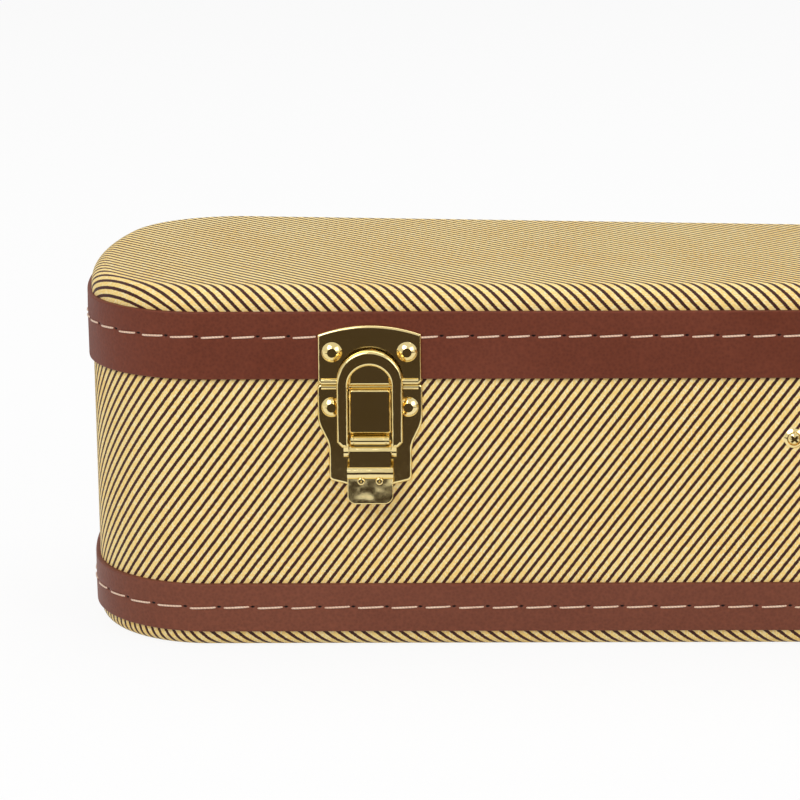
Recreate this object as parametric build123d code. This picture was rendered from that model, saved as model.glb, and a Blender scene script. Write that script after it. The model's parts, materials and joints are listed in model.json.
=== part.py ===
from build123d import *
import math
import os

# A hard case for a parlour guitar, shut and lying on its base.
# +X runs from the head end to the tail end, -Y is the side with the latches and the handle,
# +Y is the side with the hinges and +Z is up. The origin is on the underside, on the centre line,
# halfway along the shell.

# Plan of the shell, measured to the outside of the tweed
shell_length = 985.0
head_half_width = 72.8
head_end_radius = 187.4
head_corner_radius = 43.4
neck_taper_deg = 2.87
shoulder_cove_radius = 60.0
shoulder_radius = 80.0
upper_half_width = 146.0
upper_flat_start = 32.0
upper_flat_length = 124.0
waist_cove_radius = 70.0
hip_radius = 70.0
lower_half_width = 192.0
tail_corner_radius = 95.0
tail_end_radius = 330.0

# Heights above the floor
split_height = 98.4
total_height = 130.6
lid_edge_radius = 6.5
base_edge_radius = 5.0
base_band_bottom = 6.2
base_band_height = 17.6
lid_band_height = 23.9
tweed_seam = 9.0

# Layers of the shell, from the outside in
tweed_thickness = 0.8
wall_thickness = 4.5
panel_thickness = 4.0
lining_thickness = 3.5
band_thickness = 1.6
band_edge_radius = 0.5
lining_gap = 0.3
wall_joint_from_head = 60.0
wall_joint_from_tail = 100.0

# Latches, seen from the front with the split between the base and the lid as zero height
plate_thickness = 1.2
plate_edge_radius = 1.0
plate_corner_radius = 1.4
plate_bend_radius = 12.0
plate_foot_corner_radius = 1.6
plate_foot_tip_radius = 6.0
pressed_corner_radius = 1.2
weld_depth = 0.4
latch_plate_half_width = 18.3
latch_plate_top = -1.8
latch_plate_waist_top = -16.0
latch_plate_waist_bottom = -24.0
latch_plate_foot_half_width = 14.5
latch_plate_foot_side = -36.6
latch_plate_foot = -40.2
latch_plate_roll_radius = 0.95
housing_half_width = 7.3
housing_top = -3.2
housing_bottom = -19.2
housing_height = 2.6
housing_edge_radius = 0.9
strike_half_width = 18.0
strike_bottom = -1.5
strike_shoulder = 16.2
strike_crown = 19.4
strike_roll_radius = 1.1
strike_low_corner_radius = 1.4
boss_half_width = 7.3
boss_bottom = -1.5
boss_crown = 9.0
boss_height = 1.7
lever_pin_offset = 5.4
lever_pin_height = -21.0
lever_pin_radius = 0.9
barrel_radius = 1.5
barrel_half_width = 5.5
cheek_thickness = 1.0
cheek_gap = 0.2
cheek_radius = 1.5
cheek_foot_rise = 0.6
lever_half_width = 7.2
lever_sheet = 1.1
lever_face_setback = 0.2
lever_groove_depth = 1.0
roll_radius = 2.4
roll_height = -32.4
tab_half_width = 8.0
tab_bottom = -43.3
tab_corner_radius = 3.0
tab_sheet = 1.2
tab_flare = 2.4
tab_edge_radius = 0.45
eyelet_spacing = 6.4
eyelet_radius = 1.3
eyelet_hole_radius = 0.6
eyelet_drop = 0.4
eyelet_sink = 0.6
eyelet_front = 2.2
eyelet_edge_radius = 0.5
bail_pin_offset = 4.2
bail_pin_height = -25.2
bail_pin_radius = 0.8
bail_ear_radius = 1.9
bail_ear_thickness = 1.7
bail_arm_inset = 0.3
bail_arm_overlap = 1.5
bail_pin_depth = 1.2
bail_half_width = 11.5
bail_leg_width = 4.0
bail_crown = 11.3
bail_bar_height = 5.4
bail_foot_bevel = 1.8
bail_thickness = 2.2
bail_edge_radius = 1.2
bail_clearance = 0.4
running_clearance = 0.05
latch_from_head = 106.2
neck_latch_from_cove = 38.0

# Rivets, pins and screws
rivet_head_radius = 3.55
rivet_head_height = 1.8
rivet_flat_share = 0.83
rivet_shank_radius = 1.4
latch_rivet_spacing = 26.8
latch_rivet_height = -10.0
strike_rivet_spacing = 26.0
strike_rivet_height = 10.0
small_rivet_head_radius = 2.6
small_rivet_head_height = 1.3
small_rivet_shank_radius = 1.1
shank_end_gap = 0.3
washer_radius = 3.5
washer_height = 1.3
screw_head_radius = 2.5
screw_head_height = 1.5
screw_shank_radius = 1.5
screw_length = 24.0
screw_head_sink = 1.0
cross_width = 0.8
cross_length = 3.2
cross_depth = 1.0

# Hinges on the straight part of the lower bout
hinge_count = 3
hinge_width = 30.0
hinge_pitch = 41.0
hinge_leaf_height = 19.0
hinge_leaf_thickness = 1.0
hinge_leaf_edge_radius = 0.5
hinge_leaf_lid_bottom = 0.4
hinge_corner_radius = 4.0
hinge_pin_offset = 4.2
hinge_knuckle_radius = 2.4
hinge_pin_radius = 1.05
hinge_pin_head_radius = 1.7
hinge_knuckle_gap = 0.3
hinge_turn_clearance = 0.3
hinge_rivet_spacing = 18.0
hinge_rivet_height = 11.5
hinge_web_thickness = 1.0
hinge_pin_end_gap = 0.1
hinge_pin_head_length = 0.9

# Handle on the straight part of the upper bout
handle_pin_spacing = 100.0
handle_pin_height = 81.0
handle_pin_offset = 9.6
handle_pin_radius = 1.6
handle_drop = 37.0
handle_core_radius = 2.8
handle_core_bend = 13.0
handle_eye_radius = 4.2
handle_eye_width = 9.4
grip_end_gap = 0.5
grip_end_rounding = 2.0
grip_middle_radius = 8.4
grip_end_radius = 6.6
bracket_width = 22.0
bracket_height = 34.0
bracket_thickness = 1.2
bracket_edge_radius = 0.6
bracket_corner_radius = 6.0
bracket_ear_thickness = 1.4
bracket_ear_radius = 3.8
bracket_ear_gap = 0.3
bracket_ear_foot_rise = 1.5
bracket_pin_head_radius = 2.4
bracket_pin_head_length = 0.8
bracket_rivet_spacing = 24.0

# Inside the case
cradle_screw_from_head = 254.2
cradle_screw_height = 76.4
cradle_length = 25.0
cradle_top = 94.0
cradle_notch_half_width = 30.0
cradle_notch_bottom = 66.0
cradle_notch_corner = 12.0
cradle_notch_lean = 2.0
compartment_from_cove = 2.0
compartment_top = 44.0
compartment_board = 4.0
compartment_fit = 0.3
compartment_wall = 8.0
door_length = 68.0
door_side_gap = 1.5
door_roll_inset = 1.0
tab_ribbon_width = 14.0
tab_ribbon_length = 20.0
tab_ribbon_thickness = 0.8
tab_ribbon_from_edge = 3.0
waist_pad_radius = 90.0
waist_pad_reach = 112.0
waist_pad_top = 64.0

# Places that follow from the sizes above
half_length = shell_length / 2
taper = math.radians(neck_taper_deg)
upper_flat_end = upper_flat_start + upper_flat_length
wall_outer = tweed_thickness
wall_inner = tweed_thickness + wall_thickness
room_inset = wall_inner + lining_thickness
floor_top = tweed_thickness + panel_thickness + lining_thickness
lid_panel_top = total_height - tweed_thickness
lid_panel_bottom = lid_panel_top - panel_thickness
lid_band_top = split_height + lid_band_height
base_band_top = base_band_bottom + base_band_height
strike_back = band_thickness
strike_front = strike_back + plate_thickness
boss_front = strike_front + boss_height
bail_back = boss_front + bail_clearance
bail_front = bail_back + bail_thickness


def unit(x, y):
    size = math.hypot(x, y)
    return (x / size, y / size)


def shifted(point, direction, distance):
    return (point[0] + direction[0] * distance, point[1] + direction[1] * distance)


def plan_stations():
    # Where one stretch of the outline's +Y half meets the next, each with its outward normal,
    # and the bend of the stretch that follows: a radius, or None where it is straight.
    end_centre = (-half_length + head_end_radius, 0.0)
    corner_y = head_half_width - head_corner_radius
    corner_run = math.sqrt((head_end_radius - head_corner_radius) ** 2 - corner_y ** 2)
    corner = (end_centre[0] - corner_run, corner_y)
    end_normal = unit(corner[0] - end_centre[0], corner[1])
    neck_normal = (math.sin(taper), math.cos(taper))
    neck_start = shifted(corner, neck_normal, head_corner_radius)

    shoulder = (upper_flat_start, upper_half_width - shoulder_radius)
    along = (math.cos(taper), -math.sin(taper))
    cove_line = shifted(neck_start, neck_normal, shoulder_cove_radius)
    gap = (cove_line[0] - shoulder[0], cove_line[1] - shoulder[1])
    half_b = gap[0] * along[0] + gap[1] * along[1]
    reach = shoulder_radius + shoulder_cove_radius
    travel = -half_b - math.sqrt(half_b ** 2 - gap[0] ** 2 - gap[1] ** 2 + reach ** 2)
    cove = shifted(cove_line, along, travel)
    neck_end = shifted(cove, neck_normal, -shoulder_cove_radius)
    cove_normal = unit(cove[0] - shoulder[0], cove[1] - shoulder[1])

    waist = (upper_flat_end, upper_half_width + waist_cove_radius)
    hip_y = lower_half_width - hip_radius
    hip_run = math.sqrt((waist_cove_radius + hip_radius) ** 2 - (waist[1] - hip_y) ** 2)
    hip = (waist[0] + hip_run, hip_y)
    waist_normal = unit(waist[0] - hip[0], waist[1] - hip[1])

    tail_centre = (half_length - tail_end_radius, 0.0)
    tail_y = lower_half_width - tail_corner_radius
    tail_run = math.sqrt((tail_end_radius - tail_corner_radius) ** 2 - tail_y ** 2)
    tail_corner = (tail_centre[0] + tail_run, tail_y)
    tail_normal = unit(tail_run, tail_y)

    return [
        ((-half_length, 0.0), (-1.0, 0.0), end_centre),
        (shifted(end_centre, end_normal, head_end_radius), end_normal, corner),
        (neck_start, neck_normal, None),
        (neck_end, neck_normal, cove),
        (shifted(shoulder, cove_normal, shoulder_radius), cove_normal, shoulder),
        ((upper_flat_start, upper_half_width), (0.0, 1.0), None),
        ((upper_flat_end, upper_half_width), (0.0, 1.0), waist),
        (shifted(hip, waist_normal, hip_radius), waist_normal, hip),
        ((hip[0], lower_half_width), (0.0, 1.0), None),
        ((tail_corner[0], lower_half_width), (0.0, 1.0), tail_corner),
        (shifted(tail_centre, tail_normal, tail_end_radius), tail_normal, tail_centre),
        ((half_length, 0.0), (1.0, 0.0), None),
    ]


stations = plan_stations()
neck_start, neck_normal, _ = stations[2]
neck_end = stations[3][0]
flank_start = stations[8][0][0]
flank_end = stations[9][0][0]


def outline_edges(inset, side):
    # One half of the outline, moved inward by the inset; side is 1 for +Y and -1 for -Y.
    edges = []
    for (start, n0, centre), (end, n1, _) in zip(stations, stations[1:]):
        a = shifted(start, n0, -inset)
        b = shifted(end, n1, -inset)
        pa = Vector(a[0], side * a[1])
        pb = Vector(b[0], side * b[1])
        if centre is None:
            edges.append(Line(pa, pb))
            continue
        radius = math.dist(start, centre)
        away = unit(n0[0] + n1[0], n0[1] + n1[1])
        bulges = (start[0] - centre[0]) * n0[0] + (start[1] - centre[1]) * n0[1] > 0
        middle = shifted(centre, away, radius - inset if bulges else -radius - inset)
        edges.append(ThreePointArc(pa, Vector(middle[0], side * middle[1]), pb))
    return edges


def plan_face(inset):
    edges = outline_edges(inset, 1) + outline_edges(inset, -1)
    return Face(Wire(edges))


def block(inset, bottom, top):
    return extrude(Pos(0, 0, bottom) * plan_face(inset), amount=top - bottom, dir=(0, 0, 1))


def rounded_block(inset, bottom, top, radius, at_top):
    solid = block(inset, bottom, top)
    level = top if at_top else bottom
    rim = [edge for edge in solid.edges() if abs(edge.center().Z - level) < 0.001]
    return fillet(rim, radius)


def box_between(low, high):
    size = [b - a for a, b in zip(low, high)]
    middle = [(a + b) / 2 for a, b in zip(low, high)]
    return Pos(*middle) * Box(*size)


def rounded_face(corners):
    # A closed outline from corners, each with x, y and the radius that rounds it.
    count = len(corners)
    arcs = []
    for i, (x, y, radius) in enumerate(corners):
        before = corners[i - 1]
        after = corners[(i + 1) % count]
        to_before = unit(before[0] - x, before[1] - y)
        to_after = unit(after[0] - x, after[1] - y)
        cosine = to_before[0] * to_after[0] + to_before[1] * to_after[1]
        half = math.acos(max(-1.0, min(1.0, cosine))) / 2
        if radius == 0:
            arcs.append(((x, y), None, (x, y)))
            continue
        cut = radius / math.tan(half)
        inward = unit(to_before[0] + to_after[0], to_before[1] + to_after[1])
        middle = shifted((x, y), inward, radius / math.sin(half) - radius)
        arcs.append((shifted((x, y), to_before, cut), middle, shifted((x, y), to_after, cut)))
    edges = []
    for i, (start, middle, end) in enumerate(arcs):
        if middle is not None:
            edges.append(ThreePointArc(start, middle, end))
        edges.append(Line(end, arcs[(i + 1) % count][0]))
    return Face(Wire(edges))


def mirrored(corners):
    # The corners of the right half, top to bottom, and the same on the left, bottom to top.
    return corners + [(-x, y, r) for x, y, r in reversed(corners) if x > 0]


def plate(corners, back, thickness):
    # A sheet parallel to the wall; back is how far its rear face stands off the tweed.
    return extrude(Plane.XZ.offset(back) * rounded_face(corners), amount=thickness, dir=(0, -1, 0))


def front_rounded(sheet, radius):
    return fillet(sheet.faces().sort_by(Axis.Y)[0].edges(), radius)


def pressed_plate(corners, back, thickness, radius):
    return front_rounded(plate(corners, back, thickness), radius)


def arched_face(half_width, bottom, crown, foot_bevel):
    # A tall outline with a half-round top and bevelled corners at its foot
    spring = crown - half_width
    inner = half_width - foot_bevel
    right = Vector(half_width, spring)
    left = Vector(-half_width, spring)
    low = [Vector(-half_width, bottom + foot_bevel), Vector(-inner, bottom), Vector(inner, bottom),
           Vector(half_width, bottom + foot_bevel)]
    edges = [ThreePointArc(right, Vector(0, crown), left), Line(left, low[0])]
    edges += [Line(a, b) for a, b in zip(low, low[1:]) if (a - b).length > 0]
    edges.append(Line(low[-1], right))
    return Face(Wire(edges))


def arched_plate(half_width, bottom, crown, foot_bevel, back, thickness):
    face = arched_face(half_width, bottom, crown, foot_bevel)
    return extrude(Plane.XZ.offset(back) * face, amount=thickness, dir=(0, -1, 0))


def side_profile(corners, x_low, x_high):
    # A shape seen from the side, as offset from the wall and height, run between two x places.
    turned = [(-offset, height, radius) for offset, height, radius in corners]
    return extrude(Plane.YZ.offset(x_low) * rounded_face(turned), amount=x_high - x_low, dir=(1, 0, 0))


def rod_x(x_low, x_high, offset, height, radius):
    middle = Pos((x_low + x_high) / 2, -offset, height)
    return middle * Rot(0, 90, 0) * Cylinder(radius, x_high - x_low)


def rod_out(x, height, from_offset, to_offset, radius):
    middle = Pos(x, -(from_offset + to_offset) / 2, height)
    return middle * Rot(90, 0, 0) * Cylinder(radius, to_offset - from_offset)


def dome(x, height, seat, radius, rise):
    # A domed head whose flat side sits on the seat's offset.
    low = Vector(0, 0, 0)
    rim = Vector(radius, 0, 0)
    top = Vector(0, 0, rise)
    ball = (radius ** 2 + rise ** 2) / (2 * rise)
    lean = math.asin(min(1.0, radius / ball)) / 2
    crest = Vector(ball * math.sin(lean), 0, rise - ball + ball * math.cos(lean))
    face = Face(Wire([Line(low, rim), ThreePointArc(rim, crest, top), Line(top, low)]))
    return Pos(x, -seat, height) * Rot(90, 0, 0) * revolve(face, Axis.Z)


def rivet(x, height, seat, head_radius, head_height, shank_radius):
    # The dome's top is hammered flat.
    shank = rod_out(x, height, -wall_inner + shank_end_gap, seat, shank_radius)
    head = dome(x, height, seat, head_radius, head_height)
    head = head & rod_out(x, height, seat, seat + rivet_flat_share * head_height, head_radius)
    return head + shank


def facing(point, normal, height):
    # Turns a shape that was drawn for a wall facing -Y so that it sits on this wall.
    return Pos(point[0], point[1], height) * Rot(0, 0, math.degrees(math.atan2(normal[1], normal[0])) + 90)


def neck_point(distance_from_head, side):
    x = -half_length + distance_from_head
    y = neck_start[1] - (x - neck_start[0]) * math.tan(taper)
    return (x, side * y), (neck_normal[0], side * neck_normal[1])


def cut_all(solid, tools):
    for tool in tools:
        solid = solid - tool
    return solid


# Latch parts
def latch_plate():
    sheet = pressed_plate(mirrored([
        (latch_plate_half_width, latch_plate_top, plate_corner_radius),
        (latch_plate_half_width, latch_plate_waist_top, plate_bend_radius),
        (latch_plate_foot_half_width, latch_plate_waist_bottom, plate_bend_radius),
        (latch_plate_foot_half_width, latch_plate_foot_side, plate_foot_corner_radius),
        (0.0, latch_plate_foot, plate_foot_tip_radius),
    ]), 0.0, plate_thickness, plate_edge_radius)
    housing = pressed_plate(mirrored([
        (housing_half_width, housing_top, pressed_corner_radius),
        (housing_half_width, housing_bottom, pressed_corner_radius),
    ]), 0.0, plate_thickness + housing_height, housing_edge_radius)
    roll_end = latch_plate_half_width - plate_corner_radius
    roll = rod_x(-roll_end, roll_end, latch_plate_roll_radius, latch_plate_top - latch_plate_roll_radius,
                 latch_plate_roll_radius)
    body = sheet + housing + roll
    inner = barrel_half_width + cheek_gap
    for side in (-1, 1):
        low = min(side * inner, side * (inner + cheek_thickness))
        high = low + cheek_thickness
        root = plate_thickness - weld_depth
        cheek_top = lever_pin_height + cheek_radius
        cheek_bottom = lever_pin_height - cheek_radius
        cheek = side_profile([
            (root, cheek_top + cheek_foot_rise, 0.0),
            (lever_pin_offset, cheek_top, 0.0),
            (lever_pin_offset, cheek_bottom, 0.0),
            (root, cheek_bottom, 0.0),
        ], low, high)
        body = body + cheek + rod_x(low, high, lever_pin_offset, lever_pin_height, cheek_radius)
    body = body - rod_x(-bail_half_width, bail_half_width, lever_pin_offset, lever_pin_height,
                        lever_pin_radius)
    for side in (-1, 1):
        x = side * latch_rivet_spacing / 2
        body = body - rod_out(x, latch_rivet_height, -plate_thickness, 2 * plate_thickness,
                              rivet_shank_radius)
    return body


def lever_pin():
    reach = barrel_half_width + cheek_gap + cheek_thickness
    return rod_x(-reach, reach, lever_pin_offset, lever_pin_height, lever_pin_radius)


def lever():
    face_front = lever_pin_offset + barrel_radius - lever_face_setback
    face_back = face_front - lever_sheet
    body = rod_x(-barrel_half_width, barrel_half_width, lever_pin_offset, lever_pin_height, barrel_radius)
    groove_front = face_front - lever_groove_depth
    body = body + box_between((-barrel_half_width, -groove_front, bail_pin_height),
                              (barrel_half_width, lever_sheet - groove_front, lever_pin_height))
    curl_radius = face_front - bail_pin_offset
    body = body + rod_x(-lever_half_width, lever_half_width, bail_pin_offset, bail_pin_height, curl_radius)
    body = body + box_between((-lever_half_width, -face_front, roll_height),
                              (lever_half_width, -face_back, bail_pin_height))
    body = body + rod_x(-tab_half_width, tab_half_width, face_back, roll_height, roll_radius)
    tab_back = face_back - 0.75 * tab_sheet
    tab_top = roll_height - roll_radius / 2
    tab_side = side_profile([
        (tab_back, tab_top, 0.0),
        (tab_back + tab_sheet, tab_top, 0.0),
        (tab_back + tab_sheet + tab_flare, tab_bottom, 0.0),
        (tab_back + tab_flare, tab_bottom, 0.0),
    ], -tab_half_width, tab_half_width)
    tab_front = plate(mirrored([
        (tab_half_width, roll_height, 0.0),
        (tab_half_width, tab_bottom, tab_corner_radius),
    ]), 0.0, face_front + tab_flare)
    body = body + front_rounded(tab_side & tab_front, tab_edge_radius)
    eyelet_height = roll_height - roll_radius - eyelet_drop
    eyelet_x = [-eyelet_spacing / 2, eyelet_spacing / 2]
    for x in eyelet_x:
        eyelet = rod_out(x, eyelet_height, face_back - eyelet_sink, face_back + eyelet_front,
                         eyelet_radius)
        body = body + front_rounded(eyelet, eyelet_edge_radius)
    for x in eyelet_x:
        body = body - rod_out(x, eyelet_height, face_back + eyelet_drop, face_back + 2 * eyelet_front,
                              eyelet_hole_radius)
    for offset, height, radius in ((lever_pin_offset, lever_pin_height, lever_pin_radius),
                                   (bail_pin_offset, bail_pin_height, bail_pin_radius)):
        body = body - rod_x(-bail_half_width, bail_half_width, offset, height, radius + running_clearance)
    return body


def bail():
    inner = bail_half_width - bail_leg_width
    leg_end = bail_pin_height + bail_ear_radius
    frame = arched_plate(bail_half_width, leg_end, bail_crown, bail_foot_bevel, bail_back, bail_thickness)
    window = arched_plate(inner, leg_end - bail_leg_width, bail_crown - bail_bar_height, 0.0,
                          bail_back - bail_thickness, 3 * bail_thickness)
    body = front_rounded(frame - window, bail_edge_radius)
    for side in (-1, 1):
        low = min(side * inner, side * (inner + bail_ear_thickness))
        high = low + bail_ear_thickness
        body = body + rod_x(low, high, bail_pin_offset, bail_pin_height, bail_ear_radius)
        ear_front = bail_pin_offset + bail_ear_radius - bail_arm_inset
        ear_back = bail_pin_offset - bail_ear_radius + 2 * bail_arm_inset
        body = body + side_profile([
            (bail_back + bail_arm_inset, leg_end + bail_arm_overlap, 0.0),
            (bail_front - bail_arm_inset, leg_end + bail_arm_overlap, 0.0),
            (ear_front, bail_pin_height - 2 * bail_arm_inset, 0.0),
            (ear_back, bail_pin_height + bail_ear_radius / 2, 0.0),
        ], low, high)
        pin_ends = sorted((side * (lever_half_width - bail_pin_depth), side * (inner + weld_depth)))
        body = body + rod_x(pin_ends[0], pin_ends[1], bail_pin_offset, bail_pin_height, bail_pin_radius)
    return body


def strike_plate():
    sheet = plate(mirrored([
        (strike_half_width, strike_crown, 0.0),
        (strike_half_width, strike_bottom, strike_low_corner_radius),
    ]), strike_back, plate_thickness)
    rise = strike_crown - strike_shoulder
    arch_radius = (strike_half_width ** 2 + rise ** 2) / (2 * rise)
    arch = rod_out(0, strike_crown - arch_radius, strike_back, strike_front, arch_radius)
    sheet = front_rounded(sheet & arch, plate_edge_radius)
    boss = arched_plate(boss_half_width, boss_bottom, boss_crown, 0.0, strike_back,
                        plate_thickness + boss_height)
    boss = front_rounded(boss, housing_edge_radius)
    roll_end = strike_half_width - strike_roll_radius
    roll = rod_x(-roll_end, roll_end, strike_back + strike_roll_radius,
                 strike_bottom + strike_roll_radius, strike_roll_radius)
    body = sheet + boss + roll
    for side in (-1, 1):
        x = side * strike_rivet_spacing / 2
        body = body - rod_out(x, strike_rivet_height, 0, 2 * strike_front, rivet_shank_radius)
    return body


# Hinge parts, drawn for a wall facing -Y with the split as zero height
def hinge_leaf(on_lid):
    # Two knuckles of the base leaf stand either side of the lid leaf's one knuckle.
    half = hinge_width / 2
    third = hinge_width / 6
    back = band_thickness if on_lid else 0.0
    sign = 1 if on_lid else -1
    near = hinge_leaf_lid_bottom if on_lid else latch_plate_top
    levels = [(half, near, 0.0), (half, sign * hinge_leaf_height, hinge_corner_radius)]
    if on_lid:
        levels.reverse()
    body = pressed_plate(mirrored(levels), back, hinge_leaf_thickness, hinge_leaf_edge_radius)
    if on_lid:
        spans = [(-third, third)]
    else:
        spans = [(-half, -third - hinge_knuckle_gap), (third + hinge_knuckle_gap, half)]
    room = hinge_knuckle_radius + hinge_turn_clearance
    body = body - rod_x(-hinge_width, hinge_width, hinge_pin_offset, 0, room)
    for low, high in spans:
        body = body + rod_x(low, high, hinge_pin_offset, 0, hinge_knuckle_radius)
        if on_lid:
            web = box_between((low, -back - hinge_leaf_thickness, near),
                              (high, -back - weld_depth, room + hinge_web_thickness))
        else:
            web_top = -hinge_knuckle_radius + hinge_web_thickness
            web_low = -hinge_knuckle_radius - hinge_web_thickness
            web = box_between((low, -hinge_pin_offset, -hinge_knuckle_radius), (high, -weld_depth, web_top))
            web = web + box_between((low, -hinge_leaf_thickness, web_low), (high, -weld_depth / 4, web_top))
        body = body + web
    body = body - rod_x(-hinge_width, hinge_width, hinge_pin_offset, 0, hinge_pin_radius + running_clearance)
    for side in (-1, 1):
        x = side * hinge_rivet_spacing / 2
        body = body - rod_out(x, sign * hinge_rivet_height, -band_thickness, 2 * band_thickness + 1,
                              small_rivet_shank_radius)
    return body


def hinge_pin():
    reach = hinge_width / 2 + hinge_pin_end_gap
    pin = rod_x(-reach, reach, hinge_pin_offset, 0, hinge_pin_radius)
    for side in (-1, 1):
        ends = sorted((side * reach, side * (reach + hinge_pin_head_length)))
        pin = pin + rod_x(ends[0], ends[1], hinge_pin_offset, 0, hinge_pin_head_radius)
    return pin


# Handle parts, drawn for a wall facing -Y with the handle's pin as zero height
def handle_bracket():
    body = pressed_plate(mirrored([
        (bracket_width / 2, bracket_height / 2, bracket_corner_radius),
        (bracket_width / 2, -bracket_height / 2, bracket_corner_radius),
    ]), 0.0, bracket_thickness, bracket_edge_radius)
    inner = handle_eye_width / 2 + bracket_ear_gap
    for side in (-1, 1):
        low = min(side * inner, side * (inner + bracket_ear_thickness))
        high = low + bracket_ear_thickness
        foot = bracket_ear_radius + bracket_ear_foot_rise
        root = bracket_thickness - weld_depth
        ear = side_profile([
            (root, foot, 0.0),
            (handle_pin_offset, bracket_ear_radius, 0.0),
            (handle_pin_offset, -bracket_ear_radius, 0.0),
            (root, -foot, 0.0),
        ], low, high)
        body = body + ear + rod_x(low, high, handle_pin_offset, 0, bracket_ear_radius)
    body = body - rod_x(-bracket_width, bracket_width, handle_pin_offset, 0, handle_pin_radius)
    for up in (-1, 1):
        height = up * bracket_rivet_spacing / 2
        body = body - rod_out(0, height, -bracket_thickness, 2 * bracket_thickness, small_rivet_shank_radius)
    return body


def handle_pin():
    reach = handle_eye_width / 2 + bracket_ear_gap + bracket_ear_thickness
    pin = rod_x(-reach, reach, handle_pin_offset, 0, handle_pin_radius)
    for side in (-1, 1):
        ends = sorted((side * reach, side * (reach + bracket_pin_head_length)))
        pin = pin + rod_x(ends[0], ends[1], handle_pin_offset, 0, bracket_pin_head_radius)
    return pin


def handle_core():
    half = handle_pin_spacing / 2
    y = -handle_pin_offset
    top = -handle_eye_radius + handle_core_radius / 2
    path = FilletPolyline(
        (-half, y, top), (-half, y, -handle_drop), (half, y, -handle_drop), (half, y, top),
        radius=handle_core_bend,
    )
    start = Plane(origin=(-half, y, top), z_dir=(0, 0, -1))
    body = sweep(start * Circle(handle_core_radius), path=path)
    for side in (-1, 1):
        x = side * half
        body = body + rod_x(x - handle_eye_width / 2, x + handle_eye_width / 2,
                            handle_pin_offset, 0, handle_eye_radius)
    return body - rod_x(-handle_pin_spacing, handle_pin_spacing, handle_pin_offset, 0,
                        handle_pin_radius + running_clearance)


def handle_grip():
    half = handle_pin_spacing / 2 - handle_core_bend - grip_end_gap
    ends = [Vector(-half, 0, 0), Vector(half, 0, 0)]
    left = Vector(-half, 0, grip_end_radius)
    right = Vector(half, 0, grip_end_radius)
    middle = Vector(0, 0, grip_middle_radius)
    edges = [Line(ends[0], left), ThreePointArc(left, middle, right), Line(right, ends[1]),
             Line(ends[1], ends[0])]
    body = revolve(Face(Wire(edges)), Axis.X)
    rims = [edge for edge in body.edges() if abs(abs(edge.center().X) - half) < 0.001]
    body = fillet(rims, grip_end_rounding)
    body = Pos(0, -handle_pin_offset, -handle_drop) * body
    return body - rod_x(-handle_pin_spacing, handle_pin_spacing, handle_pin_offset, -handle_drop,
                        handle_core_radius)


# Places on the walls
front = -1
hinge_middle = (flank_start + flank_end) / 2
latch_places = {
    "head": neck_point(latch_from_head, front),
    "neck": neck_point(neck_end[0] + half_length - neck_latch_from_cove, front),
    "bout": ((hinge_middle, -lower_half_width), (0.0, -1.0)),
    "tail": ((half_length, 0.0), (1.0, 0.0)),
}
hinge_x = [hinge_middle + (i - (hinge_count - 1) / 2) * hinge_pitch for i in range(hinge_count)]
handle_x = (upper_flat_start + upper_flat_end) / 2
cradle_screw_places = [neck_point(cradle_screw_from_head, side) for side in (-1, 1)]

parts = {}
base_holes = []
lid_holes = []
hole_over = 2 * band_thickness

# Hardware of the four latches
lever_pins = []
latch_rivets = []
strike_rivets = []
for name, (point, normal) in latch_places.items():
    seat = facing(point, normal, split_height)
    parts["latch_plate_" + name] = seat * latch_plate()
    parts["latch_lever_" + name] = seat * lever()
    parts["latch_bail_" + name] = seat * bail()
    parts["strike_plate_" + name] = seat * strike_plate()
    lever_pins.append(seat * lever_pin())
    for side in (-1, 1):
        x = side * latch_rivet_spacing / 2
        latch_rivets.append(seat * rivet(x, latch_rivet_height, plate_thickness, rivet_head_radius,
                                         rivet_head_height, rivet_shank_radius))
        base_holes.append(seat * rod_out(x, latch_rivet_height, -wall_inner, hole_over, rivet_shank_radius))
        x = side * strike_rivet_spacing / 2
        strike_rivets.append(seat * rivet(x, strike_rivet_height, strike_front, rivet_head_radius,
                                          rivet_head_height, rivet_shank_radius))
        lid_holes.append(seat * rod_out(x, strike_rivet_height, -wall_inner, hole_over, rivet_shank_radius))
parts["latch_lever_pins"] = Compound(lever_pins)
parts["latch_plate_rivets"] = Compound(latch_rivets)
parts["strike_plate_rivets"] = Compound(strike_rivets)

# Hinges on the back
hinge_pins = []
hinge_base_rivets = []
hinge_lid_rivets = []
for i, x in enumerate(hinge_x):
    seat = facing((x, lower_half_width), (0.0, 1.0), split_height)
    parts["hinge_base_leaf_" + str(i + 1)] = seat * hinge_leaf(False)
    parts["hinge_lid_leaf_" + str(i + 1)] = seat * hinge_leaf(True)
    hinge_pins.append(seat * hinge_pin())
    for side in (-1, 1):
        x_local = side * hinge_rivet_spacing / 2
        hinge_base_rivets.append(seat * rivet(
            x_local, -hinge_rivet_height, hinge_leaf_thickness, small_rivet_head_radius,
            small_rivet_head_height, small_rivet_shank_radius))
        base_holes.append(seat * rod_out(x_local, -hinge_rivet_height, -wall_inner, hole_over,
                                         small_rivet_shank_radius))
        hinge_lid_rivets.append(seat * rivet(
            x_local, hinge_rivet_height, band_thickness + hinge_leaf_thickness,
            small_rivet_head_radius, small_rivet_head_height, small_rivet_shank_radius))
        lid_holes.append(seat * rod_out(x_local, hinge_rivet_height, -wall_inner, hole_over,
                                        small_rivet_shank_radius))
parts["hinge_pins"] = Compound(hinge_pins)
parts["hinge_base_rivets"] = Compound(hinge_base_rivets)
parts["hinge_lid_rivets"] = Compound(hinge_lid_rivets)

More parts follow.
